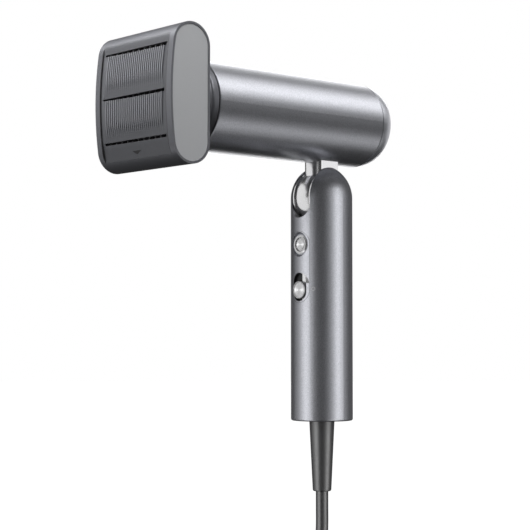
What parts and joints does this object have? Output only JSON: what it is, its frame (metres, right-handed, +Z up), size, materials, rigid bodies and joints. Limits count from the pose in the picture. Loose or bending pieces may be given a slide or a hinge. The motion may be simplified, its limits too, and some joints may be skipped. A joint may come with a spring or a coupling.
{
  "type": "folding hair dryer",
  "caption": "Folding hair dryer with a round barrel on a chrome ball hinge, slim handle, wide slotted smoothing nozzle and cord with tied hank.",
  "frame": {"origin": "on the handle's axis in the middle of the hand grip, 90 mm below the hinge axis", "axes": "+Z up along the handle, the air outlet faces -Y, +X is the hinge axis and the side with the visible nozzle end cap"},
  "size_m": [0.067, 0.1785, 0.4445],
  "materials": {
    "body_paint": "satin metallic grey paint over moulded shell",
    "chrome": "polished chrome plating",
    "nozzle_plastic": "fine matt dark grey plastic",
    "cap_plastic": "flat light grey plastic",
    "comb_plastic": "dark grey moulded plastic",
    "rubber": "dark grey soft PVC and rubber",
    "tie_rubber": "black silicone strap",
    "steel": "bare steel",
    "die_cast": "die-cast light alloy",
    "spring_brass": "brass",
    "board": "green board with solder resist",
    "black_plastic": "black moulded plastic",
    "mica": "mica and heat-proof board",
    "heater_wire": "resistance wire and copper windings",
    "wire_red": "insulated wire",
    "magnet": "sintered magnet"
  },
  "bodies": {
    "handle": {"handle_shell": "body_paint", "hinge_yoke": "die_cast", "hinge_shaft": "steel", "friction_washers": "black_plastic", "detent_spring": "spring_brass", "control_strip": "body_paint", "button_ring": "chrome", "tact_switch": "black_plastic", "slide_switch": "black_plastic", "switch_board": "board", "main_board": "board", "board_parts": "black_plastic", "handle_frame": "comb_plastic", "bottom_cap": "comb_plastic", "cap_screws": "steel", "strain_relief": "rubber", "cable_clamp": "comb_plastic", "handle_wires": "wire_red", "cord_lead": "rubber", "cord_hank": "rubber", "cord_tail": "rubber", "cord_tie": "tie_rubber", "plug_body": "rubber", "plug_pins": "spring_brass"},
    "button": {"mode_button": "chrome"},
    "slider": {"slide_knob": "chrome", "slide_carriage": "comb_plastic"},
    "head": {"hinge_ball": "chrome", "hinge_discs": "chrome", "neck_post": "chrome", "neck_saddle": "die_cast", "saddle_screws": "steel", "barrel_shell": "body_paint", "front_ring": "nozzle_plastic", "magnet_ring": "steel", "outlet_grille": "nozzle_plastic", "air_duct": "mica", "heat_shield": "mica", "mica_cross": "mica", "heater_coils": "heater_wire", "thermal_sensors": "mica", "ion_module": "black_plastic", "motor_sleeve": "rubber", "motor_housing": "die_cast", "stator": "steel", "stator_coils": "heater_wire", "motor_bearings": "steel", "motor_board": "board"},
    "rotor": {"impeller": "black_plastic", "rotor_shaft": "steel", "rotor_magnet": "magnet"},
    "rear_cap": {"rear_cap": "body_paint", "filter_mesh": "steel"},
    "nozzle_mount": {"nozzle_ring": "steel"},
    "nozzle": {"nozzle_collar": "nozzle_plastic", "nozzle_shell": "nozzle_plastic", "nozzle_end_caps": "cap_plastic", "front_panel": "nozzle_plastic", "comb_vanes": "comb_plastic", "flow_divider": "nozzle_plastic"}
  },
  "joints": [
    {"name": "head_fold", "type": "hinge", "parent": "handle", "child": "head", "pos_m": [0, 0, 0.09], "axis": [1, 0, 0], "range_deg": [0, 78]},
    {"name": "button_press", "type": "slide", "parent": "handle", "child": "button", "axis": [0, 1, 0], "range_m": [0, 0.0006], "stiffness_N_per_m": 900, "springref_m": -0.0005},
    {"name": "switch_slide", "type": "slide", "parent": "handle", "child": "slider", "axis": [0, 0, 1], "range_m": [0, 0.0047]},
    {"name": "rotor_spin", "type": "hinge", "parent": "head", "child": "rotor", "pos_m": [0, 0, 0.1358], "axis": [0, -1, 0], "continuous": true},
    {"name": "rear_cap_pull", "type": "slide", "parent": "head", "child": "rear_cap", "axis": [0, 1, 0], "range_m": [0, 0.025]},
    {"name": "nozzle_pull", "type": "slide", "parent": "head", "child": "nozzle_mount", "axis": [0, -1, 0], "range_m": [0, 0.025]},
    {"name": "nozzle_turn", "type": "hinge", "parent": "nozzle_mount", "child": "nozzle", "pos_m": [0, -0.105, 0.1358], "axis": [0, -1, 0], "continuous": true}
  ]
}
